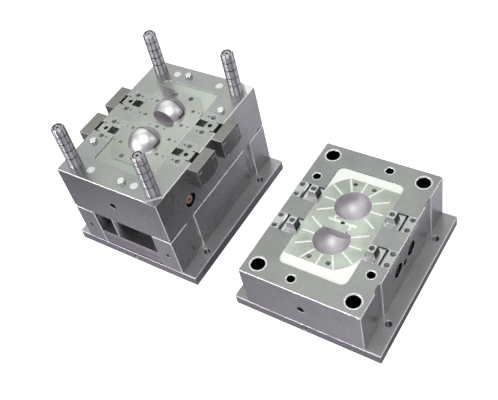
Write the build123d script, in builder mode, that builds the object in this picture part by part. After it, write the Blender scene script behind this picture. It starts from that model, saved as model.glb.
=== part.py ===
from build123d import *
import os
from math import cos, radians, sin, sqrt, tan

os.makedirs("parts", exist_ok=True)

# A die casting mould with two cavities, opened and laid out as two halves side by side on one floor.
# X runs across both halves, Y along the plates, Z up. The origin is on the floor, midway between
# the halves. The ejector half stands on the -X side and the cover half on the +X side.
# Places are given from the centre of a half, or as insets from the edges of its plates.

# Mould base
plate_w = 320.0
plate_l = 450.0
flange_w = 40.0
clamp_t = 30.0
spacer_h = 126.0
spacer_w = 63.0
core_plate_t = 144.0
cavity_plate_t = 134.0
halves_gap = 122.0
clamp_corner_r = 4.0
plate_edge = 1.5

# Clamp bolts and the grooves that clear them
bolt_out = 18.5
bolt_pitch_y = 275.0
bolt_hole_r = 9.0
bolt_groove_r = 25.0
groove_top = 36.0
ejector_rod_r = 25.0

# Guide pins and bushes
guide_inset = 35.0
guide_pin_r = 17.5
guide_stand = 128.0
guide_collar_w = 3.0
guide_collar_t = 8.0
guide_tip_taper = 30.0
guide_tip_chamfer = 5.0
guide_tip_hole_r = 4.5
guide_tip_hole_depth = 6.0
guide_tip_recess_r = 11.0
guide_tip_recess_depth = 1.5
oil_groove_count = 4
oil_groove_pitch = 25.0
oil_groove_first = 22.5
oil_groove_w = 3.0
oil_groove_depth = 0.9
guide_bush_wall = 4.5
bush_collar_w = 3.5
bush_lead = 1.6
bush_edge = 0.6

# Locating pins and the small bushes that receive them
locator_r = 10.0
locator_stand = 8.0
locator_hold = 50.0
locator_lead = 1.5
locator_end_x = 32.5
locator_end_inset = 30.5
locator_side_inset = 31.0
locator_side_y = 109.5
locator_bush_wall = 3.5
locator_bush_depth = 34.0
locator_relief_r = 8.5
locator_relief_depth = 82.0

# Core and cavity inserts
side_wall = 70.0
end_wall = 62.0
insert_t = 72.0
insert_r = 18.0
insert_edge = 0.8
cavity_y = 56.0
cavity_rim_r = 46.0
cavity_depth = 40.0
cavity_flat = 30.0
wall_t = 3.5
step_depth = 2.5
land_angle = 62.0
vent_pitch = 30
vent_first = -1
vent_last = 7
vent_w = 3.6
vent_depth = 1.0
vent_l = 42.0
side_vent_l = 32.0
runner_half = 38.0
runner_w = 6.5
runner_depth = 4.0
gate_x = 24.0
gate_w = 5.0
sprue_r = 6.0
sprue_entry_r = 9.0
sprue_bush_r = 22.0

# Ball cores
ball_foot_t = 60.0
ball_seam_w = 1.2
ball_seam_depth = 1.2
ball_seam_y = 13.0
relief_bite = 3.0
relief_w = 5.0
relief_l = 24.0
relief_depth = 20.0

# Ejection
ejector_pin_from_rim = 13.0
ejector_pin_r = 5.5
small_pin_inset = 12.0
small_pin_r = 3.2
pin_half_pitch = 27.5
centre_pin_r = 5.0
gate_pin_r = 3.0
return_pin_from_spacer = 27.0
return_pin_inset = 33.0
return_pin_r = 10.5
pin_head_extra = 2.5
pin_head_t = 6.0
ejector_base_t = 24.0
retainer_t = 22.0
ejector_gap = 2.0
pillar_x = 36.0
pillar_inset = 90.0
pillar_r = 18.0
pillar_gap = 1.0
front_post_x = -42.0
front_post_inset = 7.5
front_post_r = 2.5
rest_button_from_spacer = 22.0
rest_button_inset = 35.0
rest_button_r = 10.0
rest_button_t = 4.0
rod_thread_r = 10.0

# Side slides, their guide strips and stop blocks; insets run from the long side of the plate
station_y = 54.5
slide_w = 36.0
slide_base_w = 44.0
slide_h = 56.0
slide_stroke = 10.0
slide_tail_w = 29.0
slide_tail_inset = 19.0
window_from_insert = 15.5
window_l = 27.0
window_w = 23.5
window_depth = 24.0
slide_hole_inset = 29.0
slide_hole_r = 6.2
slide_hole_depth = 20.0
strip_out = 39.5
strip_t = 13.0
strip_from_insert = 3.0
strip_fix_y = 27.5
strip_screw_from_insert = 34.0
strip_dowel_from_insert = 19.5
block_t = 32.0
block_h = 60.0
block_edge = 2.0
block_screw_y = 30.0
block_screw_z = 21.0

# Locking heels and wear plates of the cover half
heel_taper = 10.0
heel_h = 20.0
heel_gap = 0.3
heel_seat_depth = 40.0
wear_plate_t = 18.0
heel_ledge = 4.0
heel_inset = 31.0
heel_dowel_inset = 42.0
heel_dowel_y = 16.5
heel_dowel_r = 2.0
heel_dowel_depth = 8.0
heel_station_w = 51.0
wear_plate_l = 26.0
wear_bevel = 3.0
wear_screw_inset = 10.5
wear_screw_y = 16.7

# Socket screws: the heads follow from the shank radius
screw_r = 4.0
clamp_screw_r = 8.0
screw_head_ratio = 1.625
screw_socket_ratio = 0.85
screw_sink = 1.0
screw_play = 0.5
screw_hold = 17.0
insert_screw_x = 25.4
insert_screw_inset = 42.0
clamp_screw_pitch = 130.0
clamp_screw_hold = 26.0
ejector_screw_from_spacer = 17.0
ejector_screw_y = 140.0
dowel_r = 3.0
dowel_l = 24.0

# Details of the plates
notch_leg = 36.0
notch_depth = 3.0
pry_l = 33.0
pry_h = 7.0
pry_depth = 12.0
lift_r = 10.0
lift_depth = 36.0
clamp_lift_r = 8.0
spacer_hole_inset = 29.0
spacer_hole_z = 61.0
spacer_hole_r = 6.5

# Water ports: a sunk pocket with a brass fitting in its floor and a blind run behind it
water_y = 113.5
water_drop = 96.0
cover_water_y = 36.0
cover_water_drop = 60.0
cover_lift_drop = 72.0
side_dot_y = 17.0
side_dot_drop = 70.0
side_dot_r = 2.5
side_dot_depth = 8.0
water_r = 5.0
water_run = 90.0
water_pocket_r = 20.0
water_pocket_depth = 18.0
fitting_r = 12.0
fitting_l = 14.0
fitting_edge = 1.5
fitting_thread_r = 7.0
fitting_thread_l = 16.0

# Clearances
seam = 0.15
press_gap = 0.05
running_gap = 0.08
slide_gap = 0.1
pass_gap = 0.6

# Levels and centres that follow from the sizes
half_pitch = plate_w + 2 * flange_w + halves_gap
ejector_x = -half_pitch / 2
cover_x = half_pitch / 2
half_w = plate_w / 2
half_l = plate_l / 2
split_z = clamp_t + spacer_h
face_z = split_z + core_plate_t
cover_face_z = clamp_t + cavity_plate_t
base_z = clamp_t + rest_button_t
retainer_z = base_z + ejector_base_t
bolt_x = half_w + bolt_out
ejector_room_w = plate_w - 2 * spacer_w

ejector_floor = Plane((ejector_x, 0, 0))
ejector_split = Plane((ejector_x, 0, split_z))
ejector_face = Plane((ejector_x, 0, face_z))
cover_floor = Plane((cover_x, 0, 0))
cover_joint = Plane((cover_x, 0, clamp_t))
cover_face = Plane((cover_x, 0, cover_face_z))

corners = [("far_left", -1, 1), ("far_right", 1, 1), ("near_left", -1, -1), ("near_right", 1, -1)]

# Sizes shared by mating pieces
insert_w = plate_w - 2 * side_wall
insert_l = plate_l - 2 * end_wall
cavity_r = (cavity_rim_r**2 + cavity_depth**2) / (2 * cavity_depth)
ball_rise = cavity_r - cavity_depth
ball_r = cavity_r - wall_t
guide_collar_r = guide_pin_r + guide_collar_w
guide_bush_r = guide_pin_r + running_gap + guide_bush_wall
locator_bush_r = locator_r + seam + locator_bush_wall
step_y = cavity_y + insert_w / 2 * sin(radians(land_angle))
window_x = insert_w / 2 + window_from_insert
slide_in_x = insert_w / 2 + seam
slide_tail_x = half_w - slide_tail_inset
slide_out_x = half_w - slide_stroke - slide_gap
strip_w = strip_out - slide_w / 2 - slide_gap
strip_in_x = insert_w / 2 + strip_from_insert
strip_l = slide_tail_x - strip_in_x
heel_foot_w = heel_station_w - 2 * seam
block_w = 2 * strip_out
wear_plate_in_x = half_w - wear_plate_l


def four(x, y):
    """The four points that mirror (x, y) about both axes of a plate."""
    return [(sx * x, sy * y) for name, sx, sy in corners]


def pinwheel(turn):
    """Points of the locating pins; turn is 1 on the cover half and -1 on the ejector half."""
    side_x = half_w - locator_side_inset
    end_y = half_l - locator_end_inset
    return [
        (-side_x, turn * locator_side_y),
        (side_x, -turn * locator_side_y),
        (locator_end_x, turn * end_y),
        (-locator_end_x, -turn * end_y),
    ]


room_x = ejector_room_w / 2
guide_points = four(half_w - guide_inset, half_l - guide_inset)
bolt_points = four(bolt_x, bolt_pitch_y / 2)
pillar_points = four(pillar_x, half_l - pillar_inset)
insert_screw_points = four(insert_screw_x, insert_l / 2 - insert_screw_inset)
ejector_screw_points = four(room_x - ejector_screw_from_spacer, ejector_screw_y)
return_pin_points = four(room_x - return_pin_from_spacer, half_l - return_pin_inset)
rest_button_points = four(room_x - rest_button_from_spacer, half_l - rest_button_inset)
front_post_points = [(front_post_x, front_post_inset - half_l)]
ejector_pin_x = cavity_rim_r + ejector_pin_from_rim
small_pin_x = insert_w / 2 - small_pin_inset
clamp_screw_x = half_w - spacer_w / 2
pin_rows = [station_y - pin_half_pitch, station_y + pin_half_pitch]
strip_rows = [station_y - strip_fix_y, station_y + strip_fix_y]
clamp_screw_points = [(sx * clamp_screw_x, row * clamp_screw_pitch) for sx in (-1, 1) for row in (-1, 0, 1)]


# Pins of the ejector plates: node, radius and points. The return pins stand outside the insert.
return_pins = ("return_pins", return_pin_r, return_pin_points)
insert_pins = [
    ("ejector_pins", ejector_pin_r, [point for row in pin_rows for point in four(ejector_pin_x, row)]),
    ("small_ejector_pins", small_pin_r, [point for row in pin_rows for point in four(small_pin_x, row)]),
    ("runner_ejector_pins", centre_pin_r, [(0, 0)]),
    ("runner_ejector_pins", gate_pin_r, [(gate_x, 0), (-gate_x, 0)]),
]


def front_plane(x, z):
    """Sketch plane on the near face of a plate, looking out along -Y."""
    return Plane(origin=(x, -half_l, z), x_dir=(1, 0, 0), z_dir=(0, -1, 0))


def side_plane(x, y, z, sx):
    """Sketch plane on a long side of a plate, looking out along sx * X, local Y upright."""
    return Plane(origin=(x, y, z), x_dir=(0, sx, 0), z_dir=(sx, 0, 0))


def under_plane(x, y, z):
    """Sketch plane that looks down, for screws that enter from below."""
    return Plane(origin=(x, y, z), x_dir=(1, 0, 0), z_dir=(0, 0, -1))


def cover_side(y, drop):
    """Sketch plane on the cavity plate's +X side, a drop below its face."""
    return side_plane(cover_x + half_w, y, cover_face_z - drop, 1)


ejector_port_z = face_z - water_drop
ejector_ports = [side_plane(ejector_x + sx * half_w, -sx * water_y, ejector_port_z, sx) for sx in (-1, 1)]
cover_ports = [cover_side(sy * cover_water_y, cover_water_drop) for sy in (-1, 1)]


def finish(part, name):
    """Labels a finished piece and writes it."""
    part.label = name
    export_step(part, f"parts/{name}.step")


def group(parts, name):
    """Writes several separate pieces as one node."""
    finish(Compound(children=parts), name)


def drill(plane, points, radius, depth):
    """Cuts equal round holes into the current part, against the plane's normal; a negative depth
    runs along it."""
    with BuildSketch(plane) as holes:
        with Locations(*points):
            Circle(radius)
    extrude(holes.sketch, amount=-depth, mode=Mode.SUBTRACT)


def drill_screws(plane, points, clamped, shank_r=screw_r):
    """Seats of sunk socket heads, and shank holes through the clamped thickness below them."""
    drill(plane, points, screw_head_ratio * shank_r + screw_play, screw_sink + 2 * shank_r)
    drill(plane, points, shank_r + 2 * press_gap, clamped)


def tap(plane, points, clamped, hold=screw_hold, shank_r=screw_r):
    """Blind holes that hold screws whose heads lie at this plane, beyond the clamped thickness."""
    drill(plane, points, shank_r + 2 * press_gap, clamped + hold)


def socket_screw(plane, clamped, hold=screw_hold, shank_r=screw_r):
    """Socket head screw, sunk below the plane's origin, that clamps a thickness and grips beyond it."""
    top = plane.offset(-screw_sink)
    shank_l = clamped + hold - screw_sink - 2 * shank_r
    with BuildPart() as screw:
        with BuildSketch(top):
            Circle(screw_head_ratio * shank_r)
        extrude(amount=-2 * shank_r)
        with BuildSketch(top.offset(-2 * shank_r)):
            Circle(shank_r)
        extrude(amount=-shank_l)
        with BuildSketch(top):
            RegularPolygon(screw_socket_ratio * shank_r, 6)
        extrude(amount=-shank_r, mode=Mode.SUBTRACT)
    return screw.part


def round_post(plane, radius, length):
    """Plain cylinder that stands on a plane."""
    with BuildPart() as post:
        with BuildSketch(plane):
            Circle(radius)
        extrude(amount=length)
    return post.part


def pry_slots(plane, sides):
    """Slots round the corners of a joint on the given sides, where a bar can part the plates."""
    inner = pry_l - pry_depth
    outer_x, outer_y = half_w - pry_l / 2, half_l - pry_l / 2
    inner_x, inner_y = half_w - pry_l + inner / 2, half_l - pry_l + inner / 2
    with BuildSketch(plane) as slots:
        with Locations(*[point for point in four(outer_x, outer_y) if point[0] * sides >= 0]):
            Rectangle(pry_l, pry_l)
        with Locations(*[point for point in four(inner_x, inner_y) if point[0] * sides >= 0]):
            Rectangle(inner, inner, mode=Mode.SUBTRACT)
    extrude(slots.sketch, amount=pry_h, mode=Mode.SUBTRACT)


def water_port(port):
    """Sunk pocket, fitting thread and blind water run, from a plane on the plate's side."""
    drill(port, [(0, 0)], water_pocket_r, water_pocket_depth)
    drill(port, [(0, 0)], fitting_thread_r + press_gap, water_pocket_depth + fitting_thread_l)
    drill(port, [(0, 0)], water_r, water_run)


def plate_blank(floor, centre, width, thickness):
    """Plain plate with broken edges; centre is its place on the floor plane."""
    with BuildPart() as blank:
        with BuildSketch(floor):
            with Locations(centre):
                Rectangle(width, plate_l)
        extrude(amount=thickness)
        chamfer(blank.edges(), plate_edge)
    return blank.part


# Clamp plates: the wide plates that are bolted to the machine and screwed to the plates above.
def clamp_plate(floor, centre_x, opening_r):
    with BuildPart() as clamp:
        with BuildSketch(floor):
            Rectangle(plate_w + 2 * flange_w, plate_l)
        extrude(amount=clamp_t)
        upright = clamp.edges().filter_by(Axis.Z)
        near_left = upright.sort_by(Axis.X)[:2].sort_by(Axis.Y)[0]
        far_right = upright.sort_by(Axis.X)[-2:].sort_by(Axis.Y)[-1]
        fillet([near_left, far_right], clamp_corner_r)
        chamfer(clamp.faces().filter_by(Axis.Z).edges(), plate_edge)
        drill(floor, bolt_points, bolt_hole_r, -clamp_t)
        drill(floor, [(0, 0)], opening_r, -clamp_t)
        drill_screws(under_plane(centre_x, 0, 0), clamp_screw_points, clamp_t, clamp_screw_r)
        drill(front_plane(centre_x, clamp_t / 2), [(0, 0)], clamp_lift_r, lift_depth)
    return clamp.part


finish(clamp_plate(ejector_floor, ejector_x, ejector_rod_r), "ejector_clamp_plate")


# Spacer blocks: two bars that leave the room for the ejector plates.
spacer_foot = ejector_floor.offset(clamp_t)
for side, sx in (("left", -1), ("right", 1)):
    spacer_blank = plate_blank(spacer_foot, (sx * clamp_screw_x, 0), spacer_w, spacer_h)
    with BuildPart() as spacer:
        add(spacer_blank)
        drill(spacer_foot, bolt_points, bolt_groove_r, -spacer_h)
        drill(spacer_foot, clamp_screw_points, clamp_screw_r + pass_gap, -spacer_h)
        hole_x = ejector_x + sx * (half_w - spacer_hole_inset)
        drill(front_plane(hole_x, clamp_t + spacer_hole_z), [(0, 0)], spacer_hole_r, lift_depth)
    finish(spacer.part, f"spacer_block_{side}")


# Core plate: carries the core insert, the guide pins and the four slide stations.
track_l = half_w - insert_w / 2
strip_x = (strip_in_x + slide_tail_x) / 2
strip_screw_x = insert_w / 2 + strip_screw_from_insert
strip_dowel_x = insert_w / 2 + strip_dowel_from_insert
block_z = face_z - block_h / 2
block_screw_points = [(sx * block_screw_y, sy * block_screw_z) for name, sx, sy in corners]
core_blank = plate_blank(ejector_split, (0, 0), plate_w, core_plate_t)

with BuildPart() as core_plate:
    add(core_blank)
    # Lowered triangular corners of the parting face, on the side of the water ports.
    with BuildSketch(ejector_face):
        for sy in (1, -1):
            with BuildLine():
                Polyline(
                    (half_w, sy * half_l),
                    (half_w - notch_leg, sy * half_l),
                    (half_w, sy * (half_l - notch_leg)),
                    close=True,
                )
            make_face()
    extrude(amount=-notch_depth, mode=Mode.SUBTRACT)
    # Seat of the core insert.
    with BuildSketch(ejector_face):
        RectangleRounded(insert_w + 2 * seam, insert_l + 2 * seam, insert_r + seam)
    extrude(amount=-insert_t, mode=Mode.SUBTRACT)
    drill(ejector_split, guide_points, guide_pin_r + press_gap, -core_plate_t)
    drill(ejector_split, guide_points, guide_collar_r + press_gap, -guide_collar_t)
    drill(ejector_face, pinwheel(-1), locator_r + press_gap, locator_hold)
    # Ejector pins pass with play under the insert; the return pins run in the plate itself.
    drill(ejector_split, return_pins[2], return_pin_r + running_gap, -core_plate_t)
    for node, radius, points in insert_pins:
        drill(ejector_split, points, radius + pass_gap, -core_plate_t)
    # Slide stations: a T-shaped track, open to the long side, with a seat for the guide strips.
    with BuildSketch(ejector_face.offset(-strip_t)):
        with Locations(*four(half_w - track_l / 2, station_y)):
            Rectangle(track_l, slide_base_w + 2 * slide_gap)
    extrude(amount=-(slide_h - strip_t), mode=Mode.SUBTRACT)
    with BuildSketch(ejector_face):
        with Locations(*four(half_w - track_l / 2, station_y)):
            Rectangle(track_l, slide_w + 2 * slide_gap)
        with Locations(*four(strip_x, station_y)):
            Rectangle(strip_l, 2 * strip_out)
    extrude(amount=-strip_t, mode=Mode.SUBTRACT)
    # Holes under the strips, behind the stop blocks, under the insert and for the clamp screws.
    for row in strip_rows:
        tap(ejector_face, four(strip_screw_x, row), strip_t)
        drill(ejector_face, four(strip_dowel_x, row), dowel_r + press_gap, dowel_l)
    for name, sx, sy in corners:
        tap(side_plane(ejector_x + sx * half_w, sy * station_y, block_z, sx), block_screw_points, 0)
    tap(ejector_face, insert_screw_points, insert_t)
    drill(ejector_split, clamp_screw_points, clamp_screw_r + 2 * press_gap, -clamp_screw_hold)
    # Lifting hole, pry slots and the two water ports.
    drill(front_plane(ejector_x, split_z + core_plate_t / 2), [(0, 0)], lift_r, lift_depth)
    pry_slots(ejector_split, 0)
    for port in ejector_ports:
        water_port(port)
finish(core_plate.part, "core_plate")


# Inserts: the face is lowered at both ends, beyond a land that on one side follows the circle round
# the cavity. turn is 1 on the cover half and -1 on the ejector half, which is its mirror image.
def land_point(sx, sy, angle):
    """Point on the rounded side of a land, at an angle round the cavity's centre."""
    land_r = insert_w / 2
    return (sx * land_r * cos(angle), sy * (cavity_y + land_r * sin(angle)))


def lowered_ends(plane, turn):
    end_angle = radians(land_angle)
    with BuildSketch(plane) as ends:
        for sy in (-1, 1):
            sx = -sy * turn
            start, middle, end = [land_point(sx, sy, end_angle * share) for share in (0, 0.5, 1)]
            with BuildLine():
                ThreePointArc(start, middle, end)
                Polyline(
                    end,
                    (-sx * insert_w / 2, sy * step_y),
                    (-sx * insert_w / 2, sy * insert_l / 2),
                    (sx * insert_w / 2, sy * insert_l / 2),
                    start,
                )
            make_face()
    extrude(ends.sketch, amount=-step_depth, mode=Mode.SUBTRACT)


def insert_block(plane, turn):
    """Rounded block with a fine edge and lowered ends, shared by both inserts."""
    with BuildPart() as block:
        with BuildSketch(plane):
            RectangleRounded(insert_w, insert_l, insert_r)
        extrude(amount=-insert_t)
        chamfer(block.faces().sort_by(Axis.Z)[-1].edges(), insert_edge)
        lowered_ends(plane, turn)
        drill_screws(plane, insert_screw_points, insert_t)
    return block.part


core_block = insert_block(ejector_face, -1)
cavity_block = insert_block(cover_face, 1)

with BuildPart() as core_insert:
    add(core_block)
    drill(ejector_face, [(0, cavity_y), (0, -cavity_y)], cavity_rim_r + seam, ball_foot_t)
    for node, radius, points in insert_pins:
        drill(ejector_face, points, radius + running_gap, insert_t)
finish(core_insert.part, "core_insert")


# Ball cores: domes that leave the wall of the casting inside the cavities. The far one has a flat.
def ball_core(sy, flat):
    foot = Plane((ejector_x, sy * cavity_y, face_z))
    with BuildPart() as core:
        with BuildSketch(foot):
            Circle(cavity_rim_r)
        extrude(amount=-ball_foot_t)
        with Locations((ejector_x, sy * cavity_y, face_z - ball_rise)):
            Sphere(ball_r)
        if flat:
            flat_y = cavity_flat - wall_t
            with BuildSketch(foot):
                with Locations((0, -(flat_y + ball_r) / 2)):
                    Rectangle(2 * ball_r, ball_r - flat_y)
            extrude(amount=ball_r, mode=Mode.SUBTRACT)
        # Thin seam line over the dome, above the foot only.
        ring_r = sqrt(ball_r**2 - ball_seam_y**2)
        ring_plane = Plane(
            origin=(ejector_x, sy * cavity_y + ball_seam_y - ball_seam_w / 2, face_z - ball_rise),
            x_dir=(-1, 0, 0),
            z_dir=(0, 1, 0),
        )
        with BuildSketch(ring_plane):
            Circle(ring_r + ball_seam_depth)
            Circle(ring_r - ball_seam_depth, mode=Mode.SUBTRACT)
            with Locations((0, ball_rise - ball_r)):
                Rectangle(4 * ball_r, 2 * ball_r, mode=Mode.SUBTRACT)
        extrude(amount=ball_seam_w, mode=Mode.SUBTRACT)
        # Reliefs beside the dome, one towards each slide.
        relief_x = ball_r - relief_bite
        with BuildSketch(foot.offset(-relief_depth)):
            with Locations((relief_x, 0), (-relief_x, 0)):
                Rectangle(relief_w, relief_l)
        extrude(amount=relief_depth + ball_r, mode=Mode.SUBTRACT)
    return core.part


finish(ball_core(1, True), "ball_core_far")
finish(ball_core(-1, False), "ball_core_near")


# Guide pins: collar at the foot, oil grooves near the tapered tip.
def guide_pin(x, y):
    profile = Plane(origin=(ejector_x + x, y, 0), x_dir=(1, 0, 0), z_dir=(0, -1, 0))
    tip_z = face_z + guide_stand
    groove_r = guide_pin_r - oil_groove_depth
    points = [
        (0, split_z),
        (guide_collar_r, split_z),
        (guide_collar_r, split_z + guide_collar_t),
        (guide_pin_r, split_z + guide_collar_t),
    ]
    for i in reversed(range(oil_groove_count)):
        groove_z = tip_z - oil_groove_first - i * oil_groove_pitch
        low, high = groove_z - oil_groove_w / 2, groove_z + oil_groove_w / 2
        points += [(guide_pin_r, low), (groove_r, low), (groove_r, high), (guide_pin_r, high)]
    points += [
        (guide_pin_r, tip_z - guide_tip_chamfer),
        (guide_pin_r - guide_tip_chamfer * tan(radians(guide_tip_taper)), tip_z),
        (guide_tip_recess_r, tip_z),
        (guide_tip_recess_r, tip_z - guide_tip_recess_depth),
        (guide_tip_hole_r, tip_z - guide_tip_recess_depth),
        (guide_tip_hole_r, tip_z - guide_tip_hole_depth),
        (0, tip_z - guide_tip_hole_depth - guide_tip_hole_r / 2),
    ]
    with BuildPart() as pin:
        with BuildSketch(profile):
            with BuildLine():
                Polyline(*points, close=True)
            make_face()
        revolve(axis=Axis((ejector_x + x, y, 0), (0, 0, 1)))
    return pin.part


for (name, sx, sy), (x, y) in zip(corners, guide_points):
    finish(guide_pin(x, y), f"guide_pin_{name}")


# Side slides: a stem between the guide strips, a wider foot under them and a narrower tail.
def slide(sx, sy):
    station = Plane((ejector_x, sy * station_y, face_z))
    body_x = (slide_in_x + slide_tail_x) / 2
    body_l = slide_tail_x - slide_in_x
    window_floor_l = window_l - 2 * window_depth * tan(radians(heel_taper))
    with BuildPart() as body:
        with BuildSketch(station):
            with Locations((sx * body_x, 0)):
                Rectangle(body_l, slide_w)
            with Locations((sx * (slide_tail_x + slide_out_x) / 2, 0)):
                Rectangle(slide_out_x - slide_tail_x, slide_tail_w)
        extrude(amount=-(slide_h - slide_gap))
        with BuildSketch(station.offset(-strip_t - slide_gap)):
            with Locations((sx * body_x, 0)):
                Rectangle(body_l, slide_base_w)
        extrude(amount=-(slide_h - strip_t - 2 * slide_gap))
        # Window for the locking heel: its two X walls lean like the heel.
        with BuildSketch(station):
            with Locations((sx * window_x, 0)):
                Rectangle(window_l, window_w)
        with BuildSketch(station.offset(-window_depth)):
            with Locations((sx * window_x, 0)):
                Rectangle(window_floor_l, window_w)
        loft(mode=Mode.SUBTRACT)
        drill(station, [(sx * (half_w - slide_hole_inset), 0)], slide_hole_r, slide_hole_depth)
    return body.part


# Guide strips: one on each side of a slide, flush with the parting face.
def guide_strips(sx, sy):
    station = Plane((ejector_x, sy * station_y, face_z))
    strips = []
    for side in (-1, 1):
        with BuildPart() as strip:
            with BuildSketch(station):
                with Locations((sx * strip_x, side * (strip_out - strip_w / 2))):
                    Rectangle(strip_l, strip_w)
            extrude(amount=-strip_t)
            drill_screws(station, [(sx * strip_screw_x, side * strip_fix_y)], strip_t)
            drill(station, [(sx * strip_dowel_x, side * strip_fix_y)], dowel_r + press_gap, strip_t)
        strips.append(strip.part)
    return strips


# Stop blocks: bolted to the long sides, they close the slide tracks.
def stop_block(sx, sy):
    seat = side_plane(ejector_x + sx * half_w, sy * station_y, block_z, sx)
    with BuildPart() as block:
        with BuildSketch(seat):
            Rectangle(block_w, block_h)
        extrude(amount=block_t)
        top = block.faces().sort_by(Axis.Z)[-1]
        chamfer(top.edges().filter_by(Axis.Y).sort_by(Axis.X)[0 if sx > 0 else -1], block_edge)
        drill_screws(seat.offset(block_t), block_screw_points, block_t)
    return block.part


block_screws = []
strip_screws = []
strip_dowels = []
for name, sx, sy in corners:
    finish(slide(sx, sy), f"slide_{name}")
    group(guide_strips(sx, sy), f"slide_strips_{name}")
    finish(stop_block(sx, sy), f"stop_block_{name}")
    for u, v in block_screw_points:
        head = side_plane(ejector_x + sx * (half_w + block_t), sy * station_y + u, block_z + v, sx)
        block_screws.append(socket_screw(head, block_t))
    for row in strip_rows:
        strip_screws.append(socket_screw(Plane((ejector_x + sx * strip_screw_x, sy * row, face_z)), strip_t))
        dowel_foot = Plane((ejector_x + sx * strip_dowel_x, sy * row, face_z - dowel_l))
        strip_dowels.append(round_post(dowel_foot, dowel_r, dowel_l - screw_sink))
group(block_screws, "stop_block_screws")
group(strip_screws, "strip_screws")
group(strip_dowels, "strip_dowels")


def insert_screws(centre_x, top_z):
    return [socket_screw(Plane((centre_x + x, y, top_z)), insert_t) for x, y in insert_screw_points]


def clamp_screws(centre_x, joint_z):
    """Screws that enter a clamp plate from below and grip the plate above the joint."""
    screws = []
    for x, y in clamp_screw_points:
        screws.append(socket_screw(under_plane(centre_x + x, y, 0), joint_z, clamp_screw_hold, clamp_screw_r))
    return screws


group(insert_screws(ejector_x, face_z), "core_insert_screws")
group(clamp_screws(ejector_x, split_z), "ejector_clamp_screws")


# Locating pins: fixed in the core plate, with a lead at the tip.
locators = []
for x, y in pinwheel(-1):
    with BuildPart() as locator:
        with BuildSketch(Plane((ejector_x + x, y, face_z - locator_hold))):
            Circle(locator_r)
        extrude(amount=locator_hold + locator_stand)
        chamfer(locator.edges().sort_by(Axis.Z)[-1], locator_lead)
    locators.append(locator.part)
group(locators, "locating_pins")


# Ejector plates: the retainer holds the heads of all pins, the base plate closes it from below.
def ejector_plate(plane, thickness):
    with BuildPart() as plate:
        with BuildSketch(plane):
            Rectangle(ejector_room_w - 2 * ejector_gap, plate_l - 2 * ejector_gap)
            with Locations(*pillar_points):
                Circle(pillar_r + pillar_gap, mode=Mode.SUBTRACT)
            with Locations(*front_post_points):
                Circle(front_post_r + pillar_gap, mode=Mode.SUBTRACT)
        extrude(amount=thickness)
    return plate.part


base_plane = ejector_floor.offset(base_z)
retainer_plane = ejector_floor.offset(retainer_z)
base_underside = under_plane(ejector_x, 0, base_z)
base_blank = ejector_plate(base_plane, ejector_base_t)
retainer_blank = ejector_plate(retainer_plane, retainer_t)

with BuildPart() as ejector_base:
    add(base_blank)
    drill(base_plane, [(0, 0)], rod_thread_r, -ejector_base_t)
    drill_screws(base_underside, ejector_screw_points, ejector_base_t)
finish(ejector_base.part, "ejector_base_plate")

with BuildPart() as retainer:
    add(retainer_blank)
    for node, radius, points in [return_pins] + insert_pins:
        drill(retainer_plane, points, radius + press_gap, -retainer_t)
        drill(retainer_plane, points, radius + pin_head_extra + press_gap, -pin_head_t)
    tap(base_underside, ejector_screw_points, ejector_base_t)
finish(retainer.part, "ejector_retainer_plate")


def ejector_pin(x, y, radius):
    """Pin with a flat head in the retainer; its end is flush with the parting face."""
    foot = Plane((ejector_x + x, y, retainer_z))
    with BuildPart() as pin:
        with BuildSketch(foot):
            Circle(radius + pin_head_extra)
        extrude(amount=pin_head_t)
        with BuildSketch(foot.offset(pin_head_t)):
            Circle(radius)
        extrude(amount=face_z - retainer_z - pin_head_t)
    return pin.part


for node in ("return_pins", "ejector_pins", "small_ejector_pins", "runner_ejector_pins"):
    pins = []
    for name, radius, points in [return_pins] + insert_pins:
        if name == node:
            pins += [ejector_pin(x, y, radius) for x, y in points]
    group(pins, node)

plate_screws = []
for x, y in ejector_screw_points:
    plate_screws.append(socket_screw(under_plane(ejector_x + x, y, base_z), ejector_base_t))
group(plate_screws, "ejector_plate_screws")


# Support pillars carry the core plate, with one thin post near the front of the room between the
# spacers. Rest buttons carry the ejector plates.
def posts(points, radius, length):
    return [round_post(Plane((ejector_x + x, y, clamp_t)), radius, length) for x, y in points]


pillars = posts(pillar_points, pillar_r, spacer_h) + posts(front_post_points, front_post_r, spacer_h)
group(pillars, "support_pillars")
group(posts(rest_button_points, rest_button_r, rest_button_t), "rest_buttons")


def water_fitting(port):
    """Brass nipple screwed into the floor of a sunk port; port is the plane of the plate's side."""
    pocket_floor = port.offset(-water_pocket_depth)
    with BuildPart() as nipple:
        with BuildSketch(pocket_floor):
            Circle(fitting_r)
        extrude(amount=fitting_l)
        chamfer(nipple.faces().sort_by(Axis(port.origin, port.z_dir))[-1].edges(), fitting_edge)
        with BuildSketch(pocket_floor):
            Circle(fitting_thread_r)
        extrude(amount=-fitting_thread_l)
        drill(port, [(0, 0)], water_r, water_pocket_depth + fitting_thread_l)
    return nipple.part


group([water_fitting(port) for port in ejector_ports + cover_ports], "water_fittings")


# Cover half: the clamp plate with the sprue bush, and the cavity plate with its bushes.
finish(clamp_plate(cover_floor, cover_x, sprue_bush_r + press_gap), "cover_clamp_plate")
group(clamp_screws(cover_x, clamp_t), "cover_clamp_screws")

wear_screw_x = half_w - wear_screw_inset
wear_rows = [station_y - wear_screw_y, station_y + wear_screw_y]

cavity_blank = plate_blank(cover_joint, (0, 0), plate_w, cavity_plate_t)

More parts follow.
